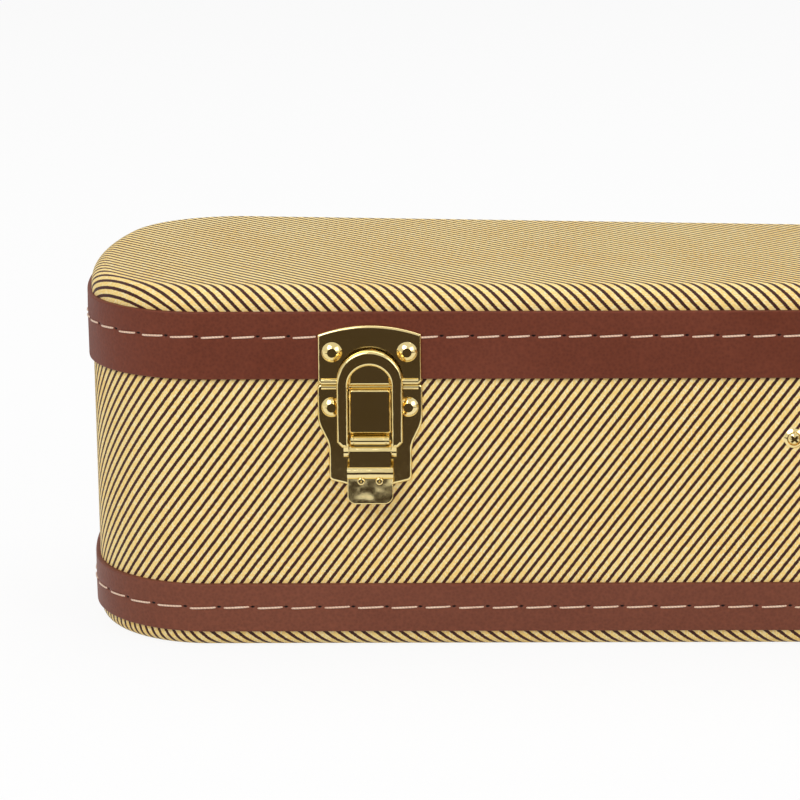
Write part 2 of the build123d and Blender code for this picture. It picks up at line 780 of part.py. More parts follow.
# Handle on the front
handle_seat = facing((handle_x, -upper_half_width), (0.0, -1.0), handle_pin_height)
bracket_pins = []
bracket_rivets = []
for label, side in (("head_side", -1), ("tail_side", 1)):
    seat = handle_seat * Pos(side * handle_pin_spacing / 2, 0, 0)
    parts["handle_bracket_" + label] = seat * handle_bracket()
    bracket_pins.append(seat * handle_pin())
    for up in (-1, 1):
        height = up * bracket_rivet_spacing / 2
        bracket_rivets.append(seat * rivet(0, height, bracket_thickness, small_rivet_head_radius,
                                           small_rivet_head_height, small_rivet_shank_radius))
        base_holes.append(seat * rod_out(0, height, -wall_inner, hole_over, small_rivet_shank_radius))
parts["handle_pins"] = Compound(bracket_pins)
parts["handle_bracket_rivets"] = Compound(bracket_rivets)
parts["handle_core"] = handle_seat * handle_core()
parts["handle_grip"] = handle_seat * handle_grip()

# Screws through the walls into the neck cradle, each in a cup washer
screws = []
washers = []
screw_holes = []
for point, normal in cradle_screw_places:
    seat = facing(point, normal, cradle_screw_height)
    head_bottom = washer_height - screw_head_sink
    head = dome(0, 0, head_bottom, screw_head_radius, screw_head_height)
    shank = rod_out(0, 0, -screw_length, head_bottom, screw_shank_radius)
    screw = head + shank
    for turn in (45, 135):
        slot = Pos(0, -(head_bottom + screw_head_height), 0) * Rot(0, turn, 0) * Box(
            cross_length, 2 * cross_depth, cross_width)
        screw = screw - slot
    screws.append(seat * screw)
    cup = dome(0, 0, 0, washer_radius, washer_height)
    cup = cup - rod_out(0, 0, head_bottom, 2 * washer_height, screw_head_radius)
    washers.append(seat * (cup - rod_out(0, 0, -washer_height, washer_height, screw_shank_radius)))
    screw_holes.append(seat * rod_out(0, 0, -screw_length, hole_over, screw_shank_radius))
parts["cradle_screws"] = Compound(screws)
parts["cradle_cup_washers"] = Compound(washers)
base_holes = base_holes + screw_holes

# Plywood shell, in four bent walls and a panel for each half
head_cut = -half_length + wall_joint_from_head
tail_cut = half_length - wall_joint_from_tail
far = shell_length
quarters = {
    "head": box_between((-far, -far, -far), (head_cut, far, far)),
    "front": box_between((head_cut, -far, -far), (tail_cut, 0, far)),
    "back": box_between((head_cut, 0, -far), (tail_cut, far, far)),
    "tail": box_between((tail_cut, -far, -far), (far, far, far)),
}


def slab(bottom, top):
    return box_between((-far, -far, bottom), (far, far, top))


base_ring = rounded_block(wall_outer, tweed_thickness, split_height, base_edge_radius - tweed_thickness,
                          False)
base_ring = base_ring - block(wall_inner, 0, total_height)
base_ring = cut_all(base_ring, base_holes)
lid_body = rounded_block(wall_outer, split_height, lid_panel_top, lid_edge_radius - tweed_thickness, True)
lid_ring = lid_body - block(wall_inner, 0, total_height)
lid_ring = lid_ring & slab(split_height, lid_panel_bottom)
lid_ring = cut_all(lid_ring, lid_holes)
for label, quarter in quarters.items():
    parts["base_wall_" + label] = base_ring & quarter
    parts["lid_wall_" + label] = lid_ring & quarter
parts["base_panel"] = block(wall_inner, tweed_thickness, tweed_thickness + panel_thickness)
parts["lid_panel"] = lid_body & slab(lid_panel_bottom, lid_panel_top)

# Tweed covers
lid_cover = rounded_block(0, split_height, total_height, lid_edge_radius, True) - lid_body
parts["lid_tweed"] = cut_all(lid_cover, lid_holes)
base_cover = rounded_block(0, 0, split_height, base_edge_radius, False)
base_cover = base_cover - rounded_block(wall_outer, tweed_thickness, split_height,
                                        base_edge_radius - tweed_thickness, False)
parts["base_side_tweed"] = cut_all(base_cover & slab(tweed_seam, split_height), base_holes)
parts["base_bottom_tweed"] = base_cover & slab(0, tweed_seam)


# Bands of leather-like vinyl
def band(bottom, top):
    outer = block(-band_thickness, bottom, top)
    middle = (bottom + top) / 2
    half = (top - bottom) / 2
    rims = [edge for edge in outer.edges() if abs(abs(edge.center().Z - middle) - half) < 0.001]
    return fillet(rims, band_edge_radius) - block(0, 0, total_height)


parts["base_band"] = band(base_band_bottom, base_band_top)
parts["lid_band"] = cut_all(band(split_height, lid_band_top), lid_holes)

# Plush linings over foam
base_lining = block(wall_inner, tweed_thickness + panel_thickness, split_height - lining_gap)
base_lining = base_lining - block(room_inset, floor_top, total_height)
parts["base_lining"] = cut_all(base_lining, screw_holes)
lid_lining = block(wall_inner, split_height + lining_gap, lid_panel_bottom)
parts["lid_lining"] = lid_lining - block(room_inset, 0, lid_panel_bottom - lining_thickness)

# Neck cradle, with the screws in its middle
cradle_middle = -half_length + cradle_screw_from_head
cradle_tail_face = cradle_middle + cradle_length / 2
cradle = block(room_inset, floor_top, cradle_top)
cradle = cradle & box_between((cradle_middle - cradle_length / 2, -far, 0), (cradle_tail_face, far, far))
notch = extrude(Plane.YZ.offset(cradle_middle - cradle_length) * rounded_face(mirrored([
    (cradle_notch_half_width, total_height, 0.0),
    (cradle_notch_half_width - cradle_notch_lean, cradle_notch_bottom, cradle_notch_corner),
])), amount=2 * cradle_length, dir=(1, 0, 0))
parts["neck_cradle"] = cut_all(cradle - notch, screw_holes)

# Accessory compartment between the cradle and the body, with a fixed shelf and a hinged door
compartment_end = neck_end[0] - compartment_from_cove
board_bottom = compartment_top - compartment_board
door_axis_x = compartment_end - door_length + compartment_board / 2
door_axis_z = compartment_top - compartment_board / 2
shelf_end = door_axis_x - compartment_board / 2 - compartment_fit
room = block(room_inset + compartment_fit, floor_top, compartment_top)
divider_room = box_between((compartment_end - compartment_wall, -far, floor_top),
                           (compartment_end, far, board_bottom - compartment_fit))
shelf_room = box_between((cradle_tail_face, -far, board_bottom), (shelf_end, far, compartment_top))
parts["compartment_divider"] = room & divider_room
parts["compartment_shelf"] = room & shelf_room
door_room = block(room_inset + door_side_gap, floor_top, compartment_top)
door = door_room & box_between((door_axis_x, -far, board_bottom), (compartment_end, far, compartment_top))
wall_at_axis = neck_point(door_axis_x + half_length, 1)[0][1]
roll_half = wall_at_axis - room_inset - door_side_gap - door_roll_inset
edge_roll = Pos(door_axis_x, 0, door_axis_z) * Rot(90, 0, 0) * Cylinder(compartment_board / 2, 2 * roll_half)
parts["compartment_door"] = door + edge_roll
ribbon_end = compartment_end - tab_ribbon_from_edge
parts["compartment_pull_tab"] = box_between(
    (ribbon_end - tab_ribbon_length, -tab_ribbon_width / 2, compartment_top),
    (ribbon_end, tab_ribbon_width / 2, compartment_top + tab_ribbon_thickness))

# Padded blocks at the guitar's waist
pad_middle = (upper_flat_end + flank_start) / 2
pad_room = block(room_inset + compartment_fit, floor_top, waist_pad_top)
for label, side in (("front", -1), ("back", 1)):
    drum = Pos(pad_middle, side * (waist_pad_reach + waist_pad_radius), (floor_top + waist_pad_top) / 2)
    drum = drum * Cylinder(waist_pad_radius, waist_pad_top - floor_top)
    parts["waist_pad_" + label] = pad_room & drum

os.makedirs("parts", exist_ok=True)
for name, shape in parts.items():
    export_step(shape, "parts/" + name + ".step")

# The joints' places, printed for whoever writes them down
print("nodes", len(parts))
for name, (point, normal) in latch_places.items():
    axis = (normal[1], -normal[0])
    for pin, offset, height in (("lever", lever_pin_offset, lever_pin_height),
                                ("bail", bail_pin_offset, bail_pin_height)):
        place = shifted(point, normal, offset)
        print(pin, name, [round(place[0], 3), round(place[1], 3), round(split_height + height, 3)],
              [round(axis[0], 6), round(axis[1], 6), 0.0])
print("lid hinge", [round(hinge_middle, 3), lower_half_width + hinge_pin_offset, split_height])
print("handle", [handle_x, -upper_half_width - handle_pin_offset, handle_pin_height])
print("door", [round(door_axis_x, 3), 0, door_axis_z])
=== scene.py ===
import bisect
import json
import math
import random

import bmesh
import bpy
from mathutils import Matrix, Vector, noise


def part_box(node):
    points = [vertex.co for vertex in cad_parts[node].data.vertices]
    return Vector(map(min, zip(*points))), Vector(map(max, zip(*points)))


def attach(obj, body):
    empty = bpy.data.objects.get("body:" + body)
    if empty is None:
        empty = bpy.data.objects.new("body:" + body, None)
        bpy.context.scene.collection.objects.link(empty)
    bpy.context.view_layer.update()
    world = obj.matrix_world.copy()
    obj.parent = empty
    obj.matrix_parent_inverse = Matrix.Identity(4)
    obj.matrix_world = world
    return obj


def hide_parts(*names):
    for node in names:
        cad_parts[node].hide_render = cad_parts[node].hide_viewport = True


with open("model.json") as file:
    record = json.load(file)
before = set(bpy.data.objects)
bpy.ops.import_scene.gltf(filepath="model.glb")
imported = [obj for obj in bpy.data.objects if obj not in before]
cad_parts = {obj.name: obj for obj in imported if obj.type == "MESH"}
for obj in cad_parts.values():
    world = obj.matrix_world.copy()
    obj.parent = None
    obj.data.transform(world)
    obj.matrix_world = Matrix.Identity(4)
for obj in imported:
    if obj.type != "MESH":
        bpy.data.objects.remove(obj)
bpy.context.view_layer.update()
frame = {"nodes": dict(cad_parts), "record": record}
nodes = frame["nodes"]
random.seed(7)

MM = 0.001

# Plan of the shell in metres, to the outside of the tweed, as in the CAD source
base_low, base_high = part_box("base_side_tweed")
half_length = base_high.x
lower_half_width = base_high.y
head_half_width = 0.0728
head_end_radius = 0.1874
head_corner_radius = 0.0434
neck_taper = math.radians(2.87)
shoulder_cove_radius = 0.060
shoulder_radius = 0.080
upper_half_width = 0.146
upper_flat_start = 0.032
upper_flat_end = 0.156
waist_cove_radius = 0.070
hip_radius = 0.070
tail_corner_radius = 0.095
tail_end_radius = 0.330

# Heights and layers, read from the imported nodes
split = base_high.z
total_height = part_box("lid_tweed")[1].z
base_band_low, base_band_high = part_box("base_band")
lid_band_low, lid_band_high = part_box("lid_band")
seam = base_low.z
band_thickness = base_band_high.y - lower_half_width
lid_edge_radius = 6.5 * MM
base_edge_radius = 5.0 * MM
wall_inner = 5.3 * MM
room_inset = 8.8 * MM
floor_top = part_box("neck_cradle")[0].z
ceiling = total_height - 8.3 * MM


def unit(x, y):
    size = math.hypot(x, y)
    return (x / size, y / size)


def shifted(point, direction, distance):
    return (point[0] + direction[0] * distance, point[1] + direction[1] * distance)


def plan_stations():
    # Where one stretch of the outline's +Y half meets the next, head to tail, each with its
    # outward normal and the centre of the arc that follows, or None before a straight.
    end_centre = (-half_length + head_end_radius, 0.0)
    corner_y = head_half_width - head_corner_radius
    corner_run = math.sqrt((head_end_radius - head_corner_radius) ** 2 - corner_y ** 2)
    corner = (end_centre[0] - corner_run, corner_y)
    end_normal = unit(corner[0] - end_centre[0], corner[1])
    neck_normal = (math.sin(neck_taper), math.cos(neck_taper))
    neck_start = shifted(corner, neck_normal, head_corner_radius)

    shoulder = (upper_flat_start, upper_half_width - shoulder_radius)
    along = (math.cos(neck_taper), -math.sin(neck_taper))
    cove_line = shifted(neck_start, neck_normal, shoulder_cove_radius)
    gap = (cove_line[0] - shoulder[0], cove_line[1] - shoulder[1])
    half_b = gap[0] * along[0] + gap[1] * along[1]
    reach = shoulder_radius + shoulder_cove_radius
    travel = -half_b - math.sqrt(half_b ** 2 - gap[0] ** 2 - gap[1] ** 2 + reach ** 2)
    cove = shifted(cove_line, along, travel)
    neck_end = shifted(cove, neck_normal, -shoulder_cove_radius)
    cove_normal = unit(cove[0] - shoulder[0], cove[1] - shoulder[1])

    waist = (upper_flat_end, upper_half_width + waist_cove_radius)
    hip_y = lower_half_width - hip_radius
    hip_run = math.sqrt((waist_cove_radius + hip_radius) ** 2 - (waist[1] - hip_y) ** 2)
    hip = (waist[0] + hip_run, hip_y)
    waist_normal = unit(waist[0] - hip[0], waist[1] - hip[1])

    tail_centre = (half_length - tail_end_radius, 0.0)
    tail_y = lower_half_width - tail_corner_radius
    tail_run = math.sqrt((tail_end_radius - tail_corner_radius) ** 2 - tail_y ** 2)
    tail_corner = (tail_centre[0] + tail_run, tail_y)
    tail_normal = unit(tail_run, tail_y)

    return [
        ((-half_length, 0.0), (-1.0, 0.0), end_centre),
        (shifted(end_centre, end_normal, head_end_radius), end_normal, corner),
        (neck_start, neck_normal, None),
        (neck_end, neck_normal, cove),
        (shifted(shoulder, cove_normal, shoulder_radius), cove_normal, shoulder),
        ((upper_flat_start, upper_half_width), (0.0, 1.0), None),
        ((upper_flat_end, upper_half_width), (0.0, 1.0), waist),
        (shifted(hip, waist_normal, hip_radius), waist_normal, hip),
        ((hip[0], lower_half_width), (0.0, 1.0), None),
        ((tail_corner[0], lower_half_width), (0.0, 1.0), tail_corner),
        (shifted(tail_centre, tail_normal, tail_end_radius), tail_normal, tail_centre),
        ((half_length, 0.0), (1.0, 0.0), None),
    ]


class Outline:
    # The whole outline by its run, in metres: 0 in the middle of the tail end, round by the hinge
    # side to the head, and back along the latch side.
    def __init__(self):
        half = plan_stations()
        self.starts = []
        self.stretches = []
        run = 0.0
        hinge_side = list(zip(half[1:], half))[::-1]
        latch_side = list(zip(half, half[1:]))
        for side, pairs in ((1, hinge_side), (-1, latch_side)):
            for (p0, n0, c0), (p1, n1, c1) in pairs:
                centre = c1 if side == 1 else c0
                flip = [(p[0], side * p[1]) for p in (p0, n0, p1, n1)]
                middle = None if centre is None else (centre[0], side * centre[1])
                self.starts.append(run)
                run += self.add(flip, middle)
        self.length = run

    def add(self, flip, centre):
        p0, n0, p1, n1 = flip
        if centre is None:
            self.stretches.append((math.dist(p0, p1), p0, n0, p1, None, 0.0, 0.0, 0.0))
            return self.stretches[-1][0]
        radius = math.dist(p0, centre)
        bulge = 1 if (p0[0] - centre[0]) * n0[0] + (p0[1] - centre[1]) * n0[1] > 0 else -1
        a0 = math.atan2(n0[1], n0[0])
        turn = (math.atan2(n1[1], n1[0]) - a0 + math.pi) % math.tau - math.pi
        self.stretches.append((abs(turn) * radius, p0, n0, p1, centre, a0, turn, bulge * radius))
        return self.stretches[-1][0]

    def at(self, run, inset=0.0):
        # The point and the outward normal at a run, moved inward by the inset
        run = run % self.length
        i = bisect.bisect_right(self.starts, run) - 1
        size, p0, n0, p1, centre, a0, turn, radius = self.stretches[i]
        t = (run - self.starts[i]) / size
        if centre is None:
            x = p0[0] + (p1[0] - p0[0]) * t
            y = p0[1] + (p1[1] - p0[1]) * t
            return (x - n0[0] * inset, y - n0[1] * inset), n0
        angle = a0 + turn * t
        normal = (math.cos(angle), math.sin(angle))
        return shifted(centre, normal, radius - inset), normal

    def stops(self, step, bend=math.radians(3.0)):
        # Runs at which a ring is cut into faces: fine on the arcs, coarser on the straights
        runs = []
        for start, stretch in zip(self.starts, self.stretches):
            size, turn = stretch[0], abs(stretch[6])
            count = max(1, math.ceil(size / step), math.ceil(turn / bend))
            runs += [start + size * k / count for k in range(count)]
        return runs


outline = Outline()


# Mesh helpers
def make_mesh(name, points, faces, uv=None, sharp=math.radians(40), tags=None):
    mesh = bpy.data.meshes.new(name)
    mesh.from_pydata(points, [], faces)
    if uv is not None:
        layer = mesh.uv_layers.new(name="cloth")
        flat = [c for face in uv for corner in face for c in corner]
        layer.data.foreach_set("uv", flat)
    if tags is not None:
        attribute = mesh.attributes.new("hole", "FLOAT", "POINT")
        attribute.data.foreach_set("value", tags)
    skin = bmesh.new()
    skin.from_mesh(mesh)
    bmesh.ops.recalc_face_normals(skin, faces=skin.faces)
    skin.to_mesh(mesh)
    skin.free()
    mesh.polygons.foreach_set("use_smooth", [True] * len(mesh.polygons))
    mesh.set_sharp_from_angle(angle=sharp)
    mesh.validate()
    piece = bpy.data.objects.new(name, mesh)
    bpy.context.scene.collection.objects.link(piece)
    return piece


def rounded(centre_inset, centre_z, radius, start_deg, end_deg, count):
    # Profile points round a centre; 0 degrees points inward and 90 degrees up.
    points = []
    for k in range(count + 1):
        a = math.radians(start_deg + (end_deg - start_deg) * k / count)
        points.append((centre_inset + radius * math.cos(a), centre_z + radius * math.sin(a)))
    return points


def running_lengths(points, known=(0.0,)):
    # The length along a line of points up to each one, where the first few may be known
    lengths = list(known)
    for a, b in zip(points[len(lengths) - 1:], points[len(lengths):]):
        lengths.append(lengths[-1] + math.dist(a, b))
    return lengths


def tube_faces(faces, uv, first, steps, around, size):
    # Faces and texture places of one stitch: a tube of rings whose points start at first
    for i in range(steps):
        for j in range(around):
            m = (j + 1) % around
            p = first + i * around
            faces.append((p + j, p + around + j, p + around + m, p + m))
            u0, u1 = size * i / steps, size * (i + 1) / steps
            v0, v1 = j / around, (j + 1) / around
            uv.append([(u0, v0), (u1, v0), (u1, v1), (u0, v1)])
    for i, order in ((0, 1), (steps, -1)):
        faces.append([first + i * around + j for j in range(around)][::order])
        uv.append([(0.0, 0.0)] * around)


def sweep(name, profile, runs, cloth, shape=None, closed=True, caps=(), tag=None):
    # Runs a profile of (inset, height) points round the outline. cloth gives the texture place of
    # a profile point at a run, shape moves a point and caps names the profile points closed flat.
    points = []
    tags = []
    for run in runs:
        for k, (inset, z) in enumerate(profile):
            if shape is not None:
                inset, z = shape(run, k, inset, z)
            (x, y), _ = outline.at(run, inset)
            points.append((x, y, z))
            tags.append(tag(run, k) if tag is not None else 0.0)
    rows = len(profile)
    count = len(runs)
    faces = []
    uv = []
    for i in range(count):
        j = (i + 1) % count
        run_j = runs[j] if j > i else outline.length
        for k in range(rows if closed else rows - 1):
            m = (k + 1) % rows
            faces.append((i * rows + k, j * rows + k, j * rows + m, i * rows + m))
            uv.append([cloth(runs[i], k), cloth(run_j, k), cloth(run_j, m), cloth(runs[i], m)])
    for k in caps:
        # The outline is the same on both sides, so the flat face is strips from side to side.
        for i in range(count // 2):
            corners = [i, i + 1, count - i - 1, (count - i) % count]
            corners = sorted(set(corners), key=corners.index)
            if len(corners) > 2:
                faces.append([c * rows + k for c in corners])
                uv.append([cloth(runs[c], k) for c in corners])
    return make_mesh(name, points, faces, uv, tags=tags if tag is not None else None)


def plain_cloth(profile):
    # Texture places from the run and the length along the profile, both in metres
    lengths = running_lengths(profile)
    return lambda run, k: (run, lengths[k])


# Node helpers for materials
class Shader:
    def __init__(self, name):
        self.material = bpy.data.materials.new(name)
        self.material.use_nodes = True
        self.tree = self.material.node_tree
        self.tree.nodes.clear()
        self.out = self.tree.nodes.new("ShaderNodeOutputMaterial")
        self.main = self.tree.nodes.new("ShaderNodeBsdfPrincipled")
        self.join(self.main.outputs["BSDF"], self.out.inputs["Surface"])

    def join(self, output, target):
        self.tree.links.new(output, target)

    def put(self, target, value):
        if isinstance(value, bpy.types.NodeSocket):
            self.join(value, target)
        else:
            target.default_value = value

    def set(self, **values):
        for key, value in values.items():
            self.put(self.main.inputs[key.replace("_", " ")], value)

    def uv(self):
        node = self.tree.nodes.new("ShaderNodeUVMap")
        node.uv_map = "cloth"
        return node.outputs["UV"]

    def place(self):
        return self.tree.nodes.new("ShaderNodeTexCoord").outputs["Object"]

    def split(self, vector):
        node = self.tree.nodes.new("ShaderNodeSeparateXYZ")
        self.join(vector, node.inputs[0])
        return node.outputs["X"], node.outputs["Y"], node.outputs["Z"]

    def vector(self, x, y, z=0.0):
        node = self.tree.nodes.new("ShaderNodeCombineXYZ")
        for socket, value in zip(node.inputs, (x, y, z)):
            self.put(socket, value)
        return node.outputs[0]

    def math(self, operation, a, b=0.0, c=0.0):
        node = self.tree.nodes.new("ShaderNodeMath")
        node.operation = operation
        for socket, value in zip(node.inputs, (a, b, c)):
            self.put(socket, value)
        return node.outputs[0]

    def noise(self, vector, scale, detail=2.0, roughness=0.5):
        node = self.tree.nodes.new("ShaderNodeTexNoise")
        self.join(vector, node.inputs["Vector"])
        node.inputs["Scale"].default_value = scale
        node.inputs["Detail"].default_value = detail
        node.inputs["Roughness"].default_value = roughness
        return node.outputs["Fac"]

    def cells(self, vector, scale, smooth):
        node = self.tree.nodes.new("ShaderNodeTexVoronoi")
        node.feature = "SMOOTH_F1"
        self.join(vector, node.inputs["Vector"])
        node.inputs["Scale"].default_value = scale
        node.inputs["Smoothness"].default_value = smooth
        return node.outputs["Distance"]

    def random(self, value):
        node = self.tree.nodes.new("ShaderNodeTexWhiteNoise")
        node.noise_dimensions = "1D"
        self.join(value, node.inputs["W"])
        return node.outputs["Value"]

    def mix(self, factor, a, b):
        node = self.tree.nodes.new("ShaderNodeMix")
        node.data_type = "RGBA"
        self.put(node.inputs[0], factor)
        self.put(node.inputs[6], a)
        self.put(node.inputs[7], b)
        return node.outputs[2]

    def shade(self, color, value):
        # A colour made lighter or darker by a number
        node = self.tree.nodes.new("ShaderNodeHueSaturation")
        self.put(node.inputs["Value"], value)
        self.put(node.inputs["Color"], color)
        return node.outputs[0]

    def spread(self, value, low, high, to_low=0.0, to_high=1.0):
        node = self.tree.nodes.new("ShaderNodeMapRange")
        self.put(node.inputs["Value"], value)
        limits = {"From Min": low, "From Max": high, "To Min": to_low, "To Max": to_high}
        for key, number in limits.items():
            self.put(node.inputs[key], number)
        return node.outputs["Result"]

    def bump(self, height, distance, strength=1.0, after=None):
        node = self.tree.nodes.new("ShaderNodeBump")
        node.inputs["Distance"].default_value = distance
        node.inputs["Strength"].default_value = strength
        self.join(height, node.inputs["Height"])
        if after is not None:
            self.join(after, node.inputs["Normal"])
        return node.outputs[0]


def rgb(red, green, blue):
    # A colour as it reads on screen, 0 to 255, turned into the linear value that shaders use
    linear = []
    for v in (red, green, blue):
        c = v / 255
        linear.append(c / 12.92 if c <= 0.04045 else ((c + 0.055) / 1.055) ** 2.4)
    return (*linear, 1.0)


# Tweed: the texture place is (across the stripes, along the stripes)
stripe_pitch = 2.85 * MM
stripe_dark_share = 0.41
thread_pitch = 0.42 * MM
thread_lean = 0.62
yarn_pitch = 0.57 * MM


def tweed_material():
    s = Shader("tweed")
    across, along, _ = s.split(s.uv())
    place = s.vector(across, along)
    thread = s.math("ADD", along, s.math("MULTIPLY", across, thread_lean))
    thread = s.math("DIVIDE", thread, thread_pitch)
    thread_id = s.math("FLOOR", thread)
    within = s.math("FRACT", thread)
    step = s.math("MULTIPLY", s.math("SUBTRACT", s.random(thread_id), 0.5), 0.05)
    drift = s.math("MULTIPLY", s.math("SUBTRACT", s.noise(place, 9.0, 1.0), 0.5), 0.30)
    phase = s.math("DIVIDE", across, stripe_pitch)
    phase = s.math("ADD", phase, s.math("ADD", step, drift))
    wave = s.math("PINGPONG", phase, 0.5)
    edge = stripe_dark_share / 2
    dark = s.spread(wave, edge + 0.02, edge - 0.02)

    yarn = s.math("DIVIDE", across, yarn_pitch)
    speck = s.random(s.math("ADD", thread_id, s.math("MULTIPLY", s.math("FLOOR", yarn), 37.31)))
    blotch = s.noise(place, 28.0, 3.0)
    rise = s.math("SINE", s.math("MULTIPLY", within, math.pi))
    straw = s.mix(s.spread(blotch, 0.35, 0.68), rgb(255, 223, 142), rgb(252, 212, 124))
    straw = s.mix(s.spread(speck, 0.50, 1.0), straw, rgb(255, 238, 184))
    brown = s.mix(s.spread(speck, 0.2, 1.0), rgb(50, 18, 9), rgb(80, 34, 22))
    color = s.mix(dark, straw, brown)
    # Each thread is painted lighter on its crest and darker towards its edges: painted shade
    # between the threads
    color = s.shade(color, s.math("ADD", 0.80, s.math("MULTIPLY", rise, 0.25)))

    ridge = s.math("SINE", s.math("MULTIPLY", s.math("FRACT", yarn), math.pi))
    weave = s.math("ADD", s.math("MULTIPLY", rise, 0.7), s.math("MULTIPLY", ridge, 0.3))
    relief = s.bump(weave, 0.08 * MM, 0.6)
    s.set(Base_Color=color, Roughness=s.spread(speck, 0.0, 1.0, 0.52, 0.66), Normal=relief,
          Specular_IOR_Level=0.30)
    return s.material


def vinyl_material(name, tint, worn):
    s = Shader(name)
    place = s.place()
    grain = s.cells(place, 900.0, 0.35)
    fine = s.noise(place, 2600.0, 3.0)
    patch = s.noise(place, 22.0, 4.0)
    color = s.mix(s.spread(patch, 0.35, 0.70), tint, worn)
    color = s.shade(color, s.spread(grain, 0.0, 0.9, 0.80, 1.12))
    # Near the middle of each stitch hole the vinyl is painted nearly black: painted shade in the
    # holes
    hole = s.tree.nodes.new("ShaderNodeAttribute")
    hole.attribute_name = "hole"
    color = s.mix(s.spread(hole.outputs["Fac"], 0.25, 0.75), color, rgb(24, 10, 8))
    relief = s.bump(grain, 0.09 * MM, 0.55)
    relief = s.bump(fine, 0.03 * MM, 0.5, relief)
    s.set(Base_Color=color, Roughness=s.spread(patch, 0.3, 0.7, 0.44, 0.54), Normal=relief,
          Specular_IOR_Level=0.24)
    return s.material


def thread_material():
    s = Shader("stitch_thread")
    along, around, _ = s.split(s.uv())
    twist = s.math("ADD", s.math("DIVIDE", along, 1.1 * MM), around)
    rise = s.math("PINGPONG", twist, 0.5)
    tone = s.noise(s.place(), 300.0, 2.0)
    color = s.mix(s.spread(tone, 0.3, 0.7), rgb(236, 196, 168), rgb(247, 216, 190))
    # The twist's grooves are painted darker than its crests: painted shade
    color = s.shade(color, s.spread(rise, 0.0, 0.5, 0.72, 1.03))
    s.set(Base_Color=color, Roughness=0.55, Normal=s.bump(rise, 0.16 * MM, 0.8), Sheen_Weight=0.2)
    return s.material


def gold_material():
    s = Shader("gold_metal")
    place = s.place()
    cloud = s.noise(place, 55.0, 2.0)
    scuff = s.noise(place, 900.0, 4.0)
    color = s.mix(s.spread(cloud, 0.35, 0.65), rgb(238, 214, 146), rgb(244, 223, 162))
    ripple = s.bump(s.noise(place, 170.0, 1.0), 0.35 * MM, 0.5)
    ripple = s.bump(scuff, 0.004 * MM, 0.4, ripple)
    s.set(Base_Color=color, Metallic=1.0, Roughness=s.spread(scuff, 0.3, 0.8, 0.07, 0.16),
          Normal=ripple)
    return s.material


def plush_material():
    s = Shader("plush")
    place = s.place()
    nap = s.noise(place, 18.0, 3.0, 0.6)
    tuft = s.noise(place, 1500.0, 3.0, 0.65)
    color = s.mix(s.spread(nap, 0.30, 0.74), rgb(118, 17, 27), rgb(138, 26, 36))
    # The low spots of the fine tuft relief are painted darker: painted shade in the pile
    color = s.mix(s.spread(tuft, 0.40, 0.72), s.shade(color, 0.62), color)
    relief = s.bump(tuft, 0.45 * MM, 0.8)
    relief = s.bump(nap, 2.0 * MM, 0.35, relief)
    s.set(Base_Color=color, Roughness=0.92, Normal=relief, Sheen_Weight=0.55, Sheen_Roughness=0.35,
          Sheen_Tint=(0.95, 0.45, 0.45, 1.0))
    return s.material


def ribbon_material():
    s = Shader("ribbon")
    across, along, _ = s.split(s.uv())
    rib = s.math("PINGPONG", s.math("DIVIDE", along, 0.5 * MM), 0.5)
    yarn = s.math("PINGPONG", s.math("DIVIDE", across, 0.8 * MM), 0.5)
    # The grooves between the ribs are painted darker than their crests: painted shade
    color = s.mix(s.spread(rib, 0.0, 0.5), rgb(70, 14, 18), rgb(104, 24, 30))
    height = s.math("ADD", rib, s.math("MULTIPLY", yarn, 0.4))
    s.set(Base_Color=color, Roughness=0.6, Normal=s.bump(height, 0.15 * MM, 0.7), Sheen_Weight=0.3)
    return s.material


def plywood_material():
    s = Shader("plywood")
    x, y, z = s.split(s.place())
    stretched = s.vector(s.math("MULTIPLY", x, 0.12), y, z)
    figure = s.noise(stretched, 160.0, 4.0, 0.6)
    streak = s.noise(stretched, 900.0, 2.0)
    color = s.mix(s.spread(figure, 0.3, 0.7), rgb(186, 144, 98), rgb(214, 176, 126))
    color = s.mix(s.spread(streak, 0.55, 0.8), color, rgb(150, 106, 66))
    s.set(Base_Color=color, Roughness=0.68, Normal=s.bump(streak, 0.05 * MM, 0.5))
    return s.material


tweed = tweed_material()
# Both bands are one brown vinyl; the base band's copy is given lighter tints than the lid band's,
# which is painted light
lid_band_vinyl = vinyl_material("lid_band_vinyl", rgb(106, 49, 30), rgb(115, 56, 37))
base_band_vinyl_painted_lighter = vinyl_material("base_band_vinyl_painted_lighter", rgb(113, 60, 42), rgb(122, 68, 49))
grip_vinyl = vinyl_material("grip_vinyl", rgb(98, 50, 37), rgb(114, 61, 45))
stitch_thread = thread_material()
gold = gold_material()
plush = plush_material()
ribbon = ribbon_material()
plywood = plywood_material()
finishes = {"tweed": tweed, "band_vinyl": lid_band_vinyl, "grip_vinyl": grip_vinyl,
            "gold_metal": gold, "plush": plush, "ribbon": ribbon, "plywood": plywood}


def dress(piece, body, slot, *replaced, material=None):
    # Gives a piece its material, the body it rides on and the nodes it stands for
    piece.data.materials.clear()
    piece.data.materials.append(material or finishes[slot])
    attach(piece, body)
    if replaced:
        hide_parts(*replaced)


# Where the tweed's stripes run: the angle from the run, or from X on the lid and the underside, to
# straight across. The side's cloth is a little less stretched than the lid's.
side_cross = -0.640
lid_cross = -2.345
bottom_cross = -0.831
side_stripe_pitch = 2.74 * MM
side_phase = 0.40 * MM
lid_phase = -0.33 * MM
bottom_phase = 0.0


def side_cloth(profile, zero_z):
    # The cloth round the side, one strip that starts at a height and turns in over the rim
    lengths = running_lengths(profile)
    c, d = math.cos(side_cross), math.sin(side_cross)
    fit = stripe_pitch / side_stripe_pitch

    def place(run, k):
        z = zero_z + lengths[k]
        return ((run * c + z * d) * fit + side_phase, -run * d + z * c)
    return place


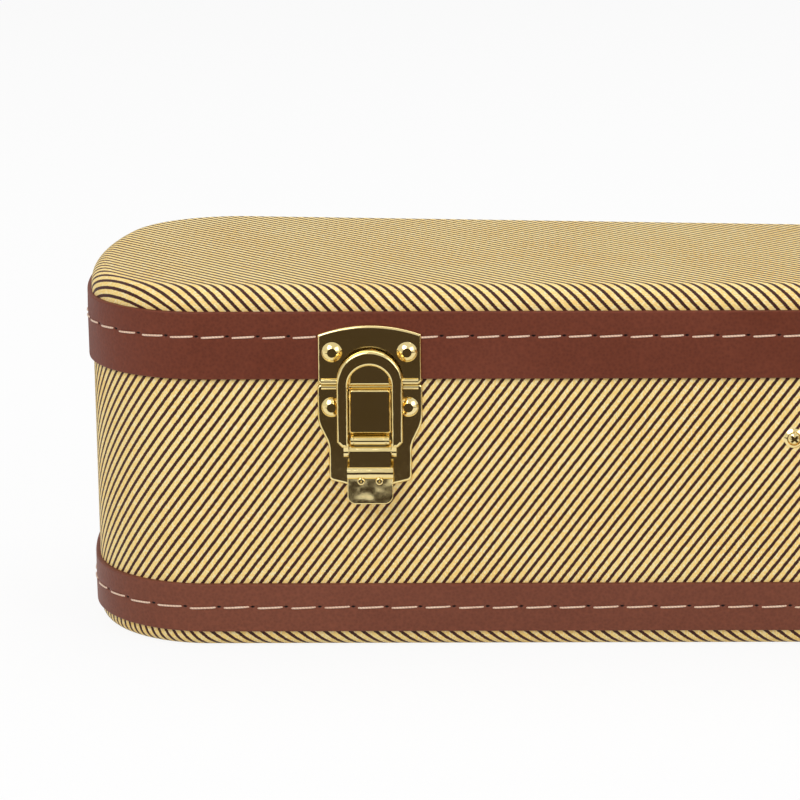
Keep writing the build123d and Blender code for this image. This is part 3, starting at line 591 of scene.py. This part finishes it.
def plan_cloth(crease_inset, lengths, cross, phase):
    # The cloth of the lid or the underside, laid flat and then folded over the edge
    c, d = math.cos(cross), math.sin(cross)

    def place(run, k):
        (x, y), _ = outline.at(run, crease_inset - lengths[k])
        return (x * c + y * d + phase, -x * d + y * c)
    return place


# Covers: the modelled sheet of tweed, its flat strip at the edge of the lid and of the underside,
# and how it turns over the rim and down the inside of the wall
tweed_sheet = 0.7 * MM
flat_strip = 2.5 * MM
flat_strip_middle = 1.0 * MM
rim_gap = 0.05 * MM
rim_radius = 1.0 * MM
rim_sheet_inner = 0.5 * MM
rim_sheet_outer = 0.6 * MM
fold_half_thickness = 0.3 * MM
fold_depth = 3 * MM
lid_edge_steps = 12
base_edge_steps = 8
fine_runs = outline.stops(4.0 * MM, math.radians(2.0))


def rim_fold(edge, sign):
    # Profile points of a cover's rim. sign is 1 for the base, whose rim is its top, and -1 for the
    # lid. The fold lies on both sides of the inner face of the wall.
    room_side = wall_inner + fold_half_thickness
    wall_side = wall_inner - fold_half_thickness
    end = edge - sign * fold_depth
    points = rounded(rim_radius, edge - sign * rim_radius, rim_radius, 180, 180 - sign * 90, 5)
    points += [(room_side, edge), (room_side, end), (wall_side, end)]
    points += [(wall_side, edge - sign * rim_sheet_inner)]
    points += [(tweed_sheet, edge - sign * rim_sheet_outer)]
    return points


def flat_cover(name, body, replaced, profile, radius, steps, cross, phase):
    # A cover that lies flat and folds over an edge whose round has that many steps
    known = [-flat_strip, -flat_strip_middle]
    known += [radius * math.pi / 2 * k / steps for k in range(steps + 1)]
    cloth = plan_cloth(radius, running_lengths(profile, known), cross, phase)
    piece = sweep(name, profile, fine_runs, cloth, closed=False, caps=(0, len(profile) - 1))
    dress(piece, body, "tweed", replaced)


def tweed_covers():
    profile = [(0.0, seam), (0.0, seam + 12 * MM), (0.0, split - 14 * MM), (0.0, split - 2 * MM)]
    profile += rim_fold(split + rim_gap, 1) + [(tweed_sheet, seam)]
    side = sweep("side_tweed", profile, fine_runs, side_cloth(profile, seam))
    dress(side, "base", "tweed", "base_side_tweed")

    radius = lid_edge_radius
    edge_z = total_height - radius
    profile = [(radius + flat_strip, total_height), (radius + flat_strip_middle, total_height)]
    profile += rounded(radius, edge_z, radius, 90, 180, lid_edge_steps)
    profile += [(0.0, lid_band_high.z - 1 * MM), (0.0, split + 3 * MM)]
    profile += rim_fold(split - rim_gap, -1) + [(tweed_sheet, edge_z)]
    profile += rounded(radius, edge_z, radius - tweed_sheet, 180, 90, 6)
    profile += [(radius + flat_strip, total_height - tweed_sheet)]
    flat_cover("lid_tweed_cover", "lid", "lid_tweed", profile, radius, lid_edge_steps,
               lid_cross, lid_phase)

    radius = base_edge_radius
    profile = [(radius + flat_strip, 0.0), (radius + flat_strip_middle, 0.0)]
    profile += rounded(radius, radius, radius, 270, 180, base_edge_steps)
    profile += [(0.0, seam), (tweed_sheet, seam)]
    profile += rounded(radius, radius, radius - tweed_sheet, 180, 270, 6)
    profile += [(radius + flat_strip, tweed_sheet)]
    flat_cover("bottom_tweed", "base", "base_bottom_tweed", profile, radius, base_edge_steps,
               bottom_cross, bottom_phase)


# Stitched bands: each one's height of the stitches, their pitch and where they start
stitch_rows = {"base": (15.2 * MM, 11.92 * MM, 2.0 * MM),
               "lid": (split + 15.1 * MM, 10.60 * MM, 2.0 * MM)}
stitch_gap = 1.75 * MM
stitch_slant = 0.50 * MM
stitch_radius = 0.36 * MM
stitch_flatness = 0.85
stitch_thinning = 0.30
stitch_rise = 0.45
stitch_dive = 0.95 * MM
stitch_height_jitter = 0.12
stitch_size_jitter = 0.3
hole_width = 1.2 * MM
hole_height = 0.60 * MM
hole_rise = 0.30 * MM
hole_depth = 0.85 * MM
hole_steps = (-0.95, -0.6, -0.3, 0.0, 0.3, 0.6, 0.95)
line_steps = (-0.6, -0.25, 0.0, 0.2, 0.35, 0.5, 0.7, 0.95)
band_round = 0.55 * MM
band_back = 0.3 * MM
band_lip = 0.4 * MM
face_margin = 0.01 * MM


def band(body, low, high):
    z_line, pitch, start = stitch_rows[body]
    count = round(outline.length / pitch)
    pitch = outline.length / count
    hole_z = z_line + hole_rise
    face = -band_thickness
    r = band_round
    levels = [low + r + 0.1 * MM, low + 2.5 * MM]
    levels += [z_line - 4 * MM, z_line - 2 * MM, z_line - 1.1 * MM]
    levels += [z_line + d * MM for d in line_steps]
    levels += [z_line + 1.5 * MM, z_line + 2.4 * MM, z_line + 4 * MM]
    levels += [high - 2.5 * MM, high - r - 0.1 * MM]
    profile = [(band_back, low), (face + r + band_lip, low)]
    profile += rounded(face + r, low + r, r, 270, 180, 4)
    profile += [(face, z) for z in levels]
    profile += rounded(face + r, high - r, r, 180, 90, 4)
    profile += [(face + r + band_lip, high), (band_back, high)]

    # The band is cut finely at each hole, and the plain stops near a hole are left out.
    holes = [start + pitch * k for k in range(count)]
    kept = []
    for run in set(outline.stops(4.5 * MM, math.radians(3.0))):
        past = (run - start) % pitch
        if min(past, pitch - past) > 1.3 * MM or run == 0.0:
            kept.append(run)
    for h in holes:
        h = h % outline.length
        kept += [(h + d * MM) % outline.length for d in hole_steps]
    kept = sorted(set(kept))

    def dent(run, z):
        # How near a point is to the middle of a hole, from 0 to 1
        gap = (run - start) % pitch
        gap = min(gap, pitch - gap) / (hole_width / 2)
        lift = (z - hole_z) / (hole_height / 2)
        return max(0.0, 1.0 - math.sqrt(gap * gap + lift * lift) * 0.62)

    def shape(run, k, inset, z):
        # A shallow valley along the stitches, a soft swell, a slight wave and the holes
        if inset > face + face_margin:
            return inset, z
        valley = math.exp(-((z - z_line) / (1.1 * MM)) ** 2) * 0.16 * MM
        swell = math.exp(-((z - z_line) / (4.5 * MM)) ** 2) * 0.10 * MM
        wave = noise.noise(Vector((run * 60, z * 60, 3.0))) * 0.08 * MM
        deep = dent(run, z) * hole_depth
        return inset + valley - swell + wave + deep, z

    def painted_hole_shade(run, k):
        # How dark the vinyl is painted there, for the material: painted shade in the stitch holes
        inset, z = profile[k]
        if inset > face + face_margin:
            return 0.0
        return min(1.0, 1.9 * dent(run, z))

    piece = sweep(body + "_band_strip", profile, kept, plain_cloth(profile), shape, tag=painted_hole_shade)
    vinyl = lid_band_vinyl if body == "lid" else base_band_vinyl_painted_lighter
    dress(piece, body, "band_vinyl", body + "_band", material=vinyl)
    stitches = thread_row(body + "_band_stitches", holes, pitch, z_line)
    dress(stitches, body, "band_vinyl", material=stitch_thread)


def thread_row(name, holes, pitch, z_line):
    # One stitch after each hole: out of the hole, over the band and into the next one
    points = []
    faces = []
    uv = []
    around = 8
    along = 12
    for h in holes:
        first = len(points)
        jitter = random.uniform(-stitch_height_jitter, stitch_height_jitter) * MM
        size = pitch - stitch_gap + random.uniform(-stitch_size_jitter, stitch_size_jitter) * MM
        begin = h + (pitch - size) / 2 + 0.25 * MM
        for i in range(along + 1):
            t = i / along
            run = begin + size * t
            z = z_line + stitch_slant * (t - 0.5) + jitter
            dive = abs(2 * t - 1) ** 7
            lift = band_thickness + stitch_radius * stitch_rise - dive * stitch_dive
            radius = stitch_radius * (1.0 - stitch_thinning * abs(2 * t - 1) ** 5)
            (x, y), (nx, ny) = outline.at(run, -lift)
            for j in range(around):
                a = math.tau * j / around
                out = math.cos(a) * radius * stitch_flatness
                points.append((x + nx * out, y + ny * out, z + math.sin(a) * radius))
        tube_faces(faces, uv, first, along, around, size)
    return make_mesh(name, points, faces, uv, sharp=math.radians(80))


# Plush linings over foam, with a rolled edge at the rim. The flat part's rings lie these many
# millimetres inside the bend.
glue_gap = 0.2 * MM
roll_radius = 1.9 * MM
lining_bend = 7.0 * MM
flat_rings = (4, 9, 15, 21, 26)
rolled_rows = 12


def lining(body, replaced, rim, depth, sign):
    # sign is 1 for the base, whose room is below its rim, and -1 for the lid
    skin = wall_inner + glue_gap
    roll = roll_radius
    bend = lining_bend
    level = rim - sign * depth

    def up(inset, drop):
        return (inset, rim - sign * drop)

    profile = [up(skin, depth + 3.3 * MM), up(skin, 6 * MM)]
    for k in range(9):
        a = math.pi * (1 - k / 8)
        profile.append(up(skin + roll + roll * math.cos(a), roll - roll * math.sin(a)))
    profile += [up(room_inset + 0.1 * MM, 3.6 * MM), up(room_inset - 0.5 * MM, 4.8 * MM)]
    wall_end = depth - bend
    steps = 9 if depth > 50 * MM else 3
    for k in range(1, steps + 1):
        profile.append(up(room_inset, 4.8 * MM + (wall_end - 4.8 * MM) * k / steps))
    for k in range(1, 7):
        a = math.pi / 2 * k / 6
        profile.append(up(room_inset + bend - bend * math.cos(a), wall_end + bend * math.sin(a)))
    for extra in flat_rings:
        profile.append(up(room_inset + bend + extra * MM, depth))
    count = len(profile)

    def shape(run, k, inset, z):
        if k < 2 or k >= count - 1:
            return inset, z
        (x, y), _ = outline.at(run, inset)
        soft = noise.noise(Vector((x * 22, y * 22, z * 22))) * 0.55 * MM
        small = noise.noise(Vector((x * 90, y * 90, z * 90))) * 0.18 * MM
        if k < rolled_rows:
            return inset + small * 0.5, z
        if abs(z - level) < 0.5 * MM:
            return inset, z + sign * (soft * 0.5 + small - 0.3 * MM)
        return inset - 0.3 * MM + soft * 0.5 + small, z

    runs = outline.stops(6.0 * MM, math.radians(4.0))
    piece = sweep(body + "_plush", profile, runs, plain_cloth(profile), shape, closed=False,
                  caps=(0, count - 1))
    dress(piece, body, "plush", replaced)


tweed_covers()
band("base", base_band_low.z, base_band_high.z)
band("lid", lid_band_low.z, lid_band_high.z)
lining("base", "base_lining", split - 0.3 * MM, split - 0.3 * MM - floor_top, 1)
lining("lid", "lid_lining", split + 0.3 * MM, ceiling - split - 0.3 * MM, -1)


# Rounded blocks and boards covered in plush
def soft_copy(name, node, voxel, rounds, ripple, body):
    # The node's own solid, remeshed with edges smoothed in rounds and a slightly uneven skin
    piece = bpy.data.objects.new(name, nodes[node].data.copy())
    bpy.context.scene.collection.objects.link(piece)
    bpy.context.view_layer.objects.active = piece
    for other in bpy.context.selected_objects:
        other.select_set(False)
    piece.select_set(True)
    remesh = piece.modifiers.new("remesh", "REMESH")
    remesh.mode = "VOXEL"
    remesh.voxel_size = voxel
    smooth = piece.modifiers.new("smooth", "SMOOTH")
    smooth.iterations = rounds
    smooth.factor = 0.5
    for label in ("remesh", "smooth"):
        bpy.ops.object.modifier_apply(modifier=label)
    skin = [(vertex.co.copy(), vertex.normal.copy()) for vertex in piece.data.vertices]
    places = []
    for p, normal in skin:
        push = noise.noise(p * 40) * ripple + noise.noise(p * 130) * ripple * 0.4
        places.extend(p + normal * push)
    piece.data.vertices.foreach_set("co", places)
    piece.data.polygons.foreach_set("use_smooth", [True] * len(piece.data.polygons))
    dress(piece, body, "plush", node)


soft_copy("cradle_pad", "neck_cradle", 1.6 * MM, 4, 0.25 * MM, "base")
soft_copy("divider_pad", "compartment_divider", 1.2 * MM, 3, 0.12 * MM, "base")
soft_copy("shelf_pad", "compartment_shelf", 1.0 * MM, 2, 0.10 * MM, "base")
soft_copy("door_pad", "compartment_door", 1.0 * MM, 2, 0.10 * MM, "compartment_door")
for side in ("front", "back"):
    soft_copy("waist_block_" + side, "waist_pad_" + side, 2.5 * MM, 7, 0.6 * MM, "base")

# Handle: a moulded grip with a sewn seam along its top when it hangs
grip_low, grip_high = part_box("handle_grip")
grip_middle = (grip_low + grip_high) / 2
grip_half = (grip_high.x - grip_low.x) / 2
grip_radius = (grip_high.z - grip_low.z) / 2
grip_slim = 1.8 * MM
grip_end_roll = 2.2 * MM
grip_flatness = 0.96
seam_rise = 1.5 * MM
seam_half_width = math.radians(13)
grip_stitch_pitch = 4.2 * MM
grip_stitch_gap = 1.1 * MM
grip_stitch_dive = 0.5 * MM
grip_thread_radius = 0.30 * MM


def grip_size(x):
    # The grip's radius at a distance from its middle: barrel shaped, with rounded ends
    t = abs(x) / grip_half
    end = grip_half - abs(x)
    barrel = grip_radius - grip_slim * t * t
    roll = grip_end_roll
    if end < roll:
        barrel -= roll - math.sqrt(max(0.0, roll ** 2 - (roll - end) ** 2))
    return barrel


def grip_cover():
    around = 48
    stops = [-1 + 2 * k / 56 for k in range(57)]
    stops += [side * (1 - d) for side in (-1, 1) for d in (0.002, 0.006, 0.012, 0.020, 0.027)]
    stops = sorted(t for t in stops if abs(t) <= 1.0)
    points = []
    faces = []
    for t in stops:
        x = t * grip_half
        radius = grip_size(x)
        for j in range(around):
            a = math.tau * j / around
            away = abs((a - math.pi / 2 + math.pi) % math.tau - math.pi) / seam_half_width
            lift = seam_rise * max(0.0, 1.0 - away ** 2) ** 0.5 * min(1.0, (1 - abs(t)) * 14)
            pinch = -0.35 * MM * math.exp(-((away - 1.35) / 0.3) ** 2)
            wave = noise.noise(Vector((x * 120, a * 2, 5.0))) * 0.10 * MM
            r = radius + lift + pinch + wave
            points.append((grip_middle.x + x, grip_middle.y + math.cos(a) * r * grip_flatness,
                           grip_middle.z + math.sin(a) * r))
    rows = len(stops)
    for i in range(rows - 1):
        for j in range(around):
            m = (j + 1) % around
            p = i * around
            faces.append((p + j, p + m, p + around + m, p + around + j))
    faces.append(list(range(around))[::-1])
    faces.append([(rows - 1) * around + j for j in range(around)])
    cover = make_mesh("grip_cover", points, faces, sharp=math.radians(60))
    dress(cover, "handle", "grip_vinyl", "handle_grip")


def grip_stitches():
    # A row of stitches along each side of the seam, from end to end of the grip
    points = []
    faces = []
    uv = []
    count = int(2 * (grip_half - 4 * MM) / grip_stitch_pitch)
    size = grip_stitch_pitch - grip_stitch_gap
    around = 6
    steps = 6
    for flank in (-1, 1):
        a = math.pi / 2 + flank * seam_half_width * 1.15
        out = Vector((0.0, math.cos(a), math.sin(a)))
        across = Vector((0.0, -math.sin(a), math.cos(a)))
        for k in range(count):
            middle = (k - (count - 1) / 2) * grip_stitch_pitch
            first = len(points)
            for i in range(steps + 1):
                t = i / steps
                x = middle + size * (t - 0.5)
                dive = abs(2 * t - 1) ** 5 * grip_stitch_dive
                centre = Vector((grip_middle.x + x, grip_middle.y, grip_middle.z))
                centre += out * (grip_size(x) + grip_thread_radius - dive)
                for j in range(around):
                    turn = math.tau * j / around
                    side = out * math.cos(turn) + across * math.sin(turn)
                    points.append(centre + side * grip_thread_radius)
            tube_faces(faces, uv, first, steps, around, size)
    stitches = make_mesh("grip_stitches", points, faces, uv, sharp=math.radians(80))
    dress(stitches, "handle", "grip_vinyl", material=stitch_thread)


grip_cover()
grip_stitches()

# The compartment door's ribbon tab: sewn flat on the door, its free end folded back over it
ribbon_thickness = 0.9 * MM
ribbon_bend_reach = 3.6 * MM
ribbon_bend_radius = 3.4 * MM
ribbon_sag = 0.15 * MM


def pull_ribbon():
    low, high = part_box("compartment_pull_tab")
    thick = ribbon_thickness
    z = low.z + thick / 2
    path = [(low.x + (high.x - low.x) * k / 10, z) for k in range(9)]
    end = path[-1][0]
    for k in range(1, 13):
        a = math.radians(-90 + 15 * k)
        path.append((end + ribbon_bend_reach * math.cos(a),
                     z + ribbon_bend_radius + ribbon_bend_radius * math.sin(a)))
    for k in range(1, 5):
        path.append((end - 2.2 * MM * k, z + 6.8 * MM - 1.55 * MM * k + 0.05 * MM * k * k))
    half = (high.y - low.y) / 2
    across = [half * (-1 + k / 4) for k in range(9)]
    points = []
    faces = []
    uv = []
    lengths = running_lengths(path)
    rows = len(path)
    for layer in (1, -1):
        for i, (x, height) in enumerate(path):
            before = path[max(0, i - 1)]
            after = path[min(rows - 1, i + 1)]
            along = unit(after[0] - before[0], after[1] - before[1])
            for y in across:
                sag = ribbon_sag * math.sin(y * 700 + i)
                off = layer * thick / 2 + (sag if i > 2 else 0.0)
                points.append((x - along[1] * off, y, height + along[0] * off))
    cols = len(across)
    back = rows * cols

    def cell(i, k):
        return (across[k], lengths[i])

    for i in range(rows - 1):
        for k in range(cols - 1):
            a, b, c, d = i * cols + k, (i + 1) * cols + k, (i + 1) * cols + k + 1, i * cols + k + 1
            faces += [(a, b, c, d), (back + d, back + c, back + b, back + a)]
            corners = [cell(i, k), cell(i + 1, k), cell(i + 1, k + 1), cell(i, k + 1)]
            uv += [corners, corners[::-1]]
        for k in (0, cols - 1):
            a, b = i * cols + k, (i + 1) * cols + k
            faces.append((a, back + a, back + b, b) if k == 0 else (a, b, back + b, back + a))
            uv.append([cell(i, k)] * 4)
    for i in (0, rows - 1):
        for k in range(cols - 1):
            a, b = i * cols + k, i * cols + k + 1
            faces.append((a, b, back + b, back + a))
            uv.append([cell(i, k)] * 4)
    piece = make_mesh("pull_ribbon", points, faces, uv, sharp=math.radians(50))
    dress(piece, "compartment_door", "ribbon", "compartment_pull_tab")


pull_ribbon()

# Finishes of the CAD nodes that stay
for subpart in frame["record"]["subparts"]:
    node = nodes[subpart["node"]]
    node.data.materials.clear()
    node.data.materials.append(finishes[subpart["material_slot"]])


# Floor, dark cards for the metal to mirror, world, lamps and camera
def seen_rays(tree):
    # 1 for what the camera, a mirror or glass sees, 0 for light
    rays = tree.nodes.new("ShaderNodeLightPath")
    result = rays.outputs["Is Camera Ray"]
    for name in ("Is Glossy Ray", "Is Transmission Ray"):
        node = tree.nodes.new("ShaderNodeMath")
        node.operation = "MAXIMUM"
        tree.links.new(result, node.inputs[0])
        tree.links.new(rays.outputs[name], node.inputs[1])
        result = node.outputs[0]
    return result


floor_reach = 12.0
floor_white_share = 0.90
floor_z = -0.2 * MM
floor_color = (0.90, 0.90, 0.90, 1.0)
stage_roughness = 0.9
floor_corners = [(-floor_reach, -floor_reach, floor_z), (floor_reach, -floor_reach, floor_z),
                 (floor_reach, floor_reach, floor_z), (-floor_reach, floor_reach, floor_z)]
floor = make_mesh("floor", floor_corners, [(0, 1, 2, 3)])
paper = Shader("floor_paper")
paper.set(Base_Color=floor_color, Roughness=stage_roughness, Specular_IOR_Level=0.0)
white = paper.tree.nodes.new("ShaderNodeEmission")
white.inputs["Strength"].default_value = 1.0
floor_mix = paper.tree.nodes.new("ShaderNodeMixShader")
paper.join(paper.math("MULTIPLY", seen_rays(paper.tree), floor_white_share), floor_mix.inputs[0])
paper.join(paper.main.outputs["BSDF"], floor_mix.inputs[1])
paper.join(white.outputs[0], floor_mix.inputs[2])
paper.join(floor_mix.outputs[0], paper.out.inputs["Surface"])
floor.data.materials.append(paper.material)

# The studio's dark cards stand in front and behind, out of the picture: only mirroring surfaces see
# them. Each lies on the floor and turns up at its far edge.
card_near = 0.235
card_far = 0.985
card_half_length = 0.78
card_rise = 0.27
card_z = 1.0 * MM
card_color = (0.066, 0.050, 0.036, 1.0)
card_points = []
for side in (-1, 1):
    for y, z in ((card_near, card_z), (card_far, card_z), (card_far, card_rise)):
        card_points += [(-card_half_length, side * y, z), (card_half_length, side * y, z)]
card_faces = [(k, k + 1, k + 3, k + 2) for k in (0, 2, 6, 8)]
cards = make_mesh("dark_cards", card_points, card_faces)
card = Shader("dark_card")
card.set(Base_Color=card_color, Roughness=stage_roughness, Specular_IOR_Level=0.0)
cards.data.materials.append(card.material)
for ray in ("camera", "diffuse", "transmission", "volume_scatter", "shadow"):
    setattr(cards, "visible_" + ray, False)

# The world lights the case less than it shows itself to the camera and to mirrors.
world_light = 0.45
world_shown = 1.0
world = bpy.data.worlds.new("studio")
bpy.context.scene.world = world
world.use_nodes = True
tree = world.node_tree
tree.nodes.clear()
lamp_light = tree.nodes.new("ShaderNodeBackground")
lamp_light.inputs["Strength"].default_value = world_light
shown_light = tree.nodes.new("ShaderNodeBackground")
shown_light.inputs["Strength"].default_value = world_shown
blend = tree.nodes.new("ShaderNodeMixShader")
world_out = tree.nodes.new("ShaderNodeOutputWorld")
tree.links.new(seen_rays(tree), blend.inputs[0])
tree.links.new(lamp_light.outputs[0], blend.inputs[1])
tree.links.new(shown_light.outputs[0], blend.inputs[2])
tree.links.new(blend.outputs[0], world_out.inputs["Surface"])


def softbox(name, place, aim, size, power):
    lamp = bpy.data.lights.new(name, "AREA")
    lamp.shape = "RECTANGLE"
    lamp.size = size[0]
    lamp.size_y = size[1]
    lamp.energy = power
    holder = bpy.data.objects.new(name, lamp)
    bpy.context.scene.collection.objects.link(holder)
    holder.location = place
    holder.rotation_euler = (Vector(aim) - Vector(place)).to_track_quat("-Z", "Y").to_euler()


softbox("key", place=(-1.4, -1.9, 1.9), aim=(-0.2, 0.0, 0.05), size=(1.6, 1.6), power=34.0)
softbox("fill", place=(1.7, -1.5, 1.2), aim=(-0.1, 0.0, 0.05), size=(1.4, 1.4), power=16.0)
softbox("top", place=(0.0, 0.6, 2.2), aim=(-0.1, 0.0, 0.0), size=(2.0, 1.6), power=20.5)

# The camera that was fitted to the photograph: where it stands, and its axes in the world
camera_place = (-0.3126, -1.0135, 0.3268)
camera_right = Vector((0.998555, 0.053610, -0.003785))
camera_down = Vector((0.009202, -0.239933, -0.970746))
camera_forward = Vector((-0.052950, 0.969308, -0.240079))
camera_data = bpy.data.cameras.new("camera")
camera = bpy.data.objects.new("camera", camera_data)
bpy.context.scene.collection.objects.link(camera)
bpy.context.scene.camera = camera
camera_turn = Matrix((camera_right, -camera_down, -camera_forward)).transposed()
camera.matrix_world = Matrix.Translation(camera_place) @ camera_turn.to_4x4()
camera_data.sensor_width = 36.0
camera_data.lens = 125.85
camera_data.shift_x = -0.0418
camera_data.shift_y = -0.0078
camera_data.clip_start = 0.05
camera_data.clip_end = 60.0

view = bpy.context.scene.view_settings
view.view_transform = "Standard"
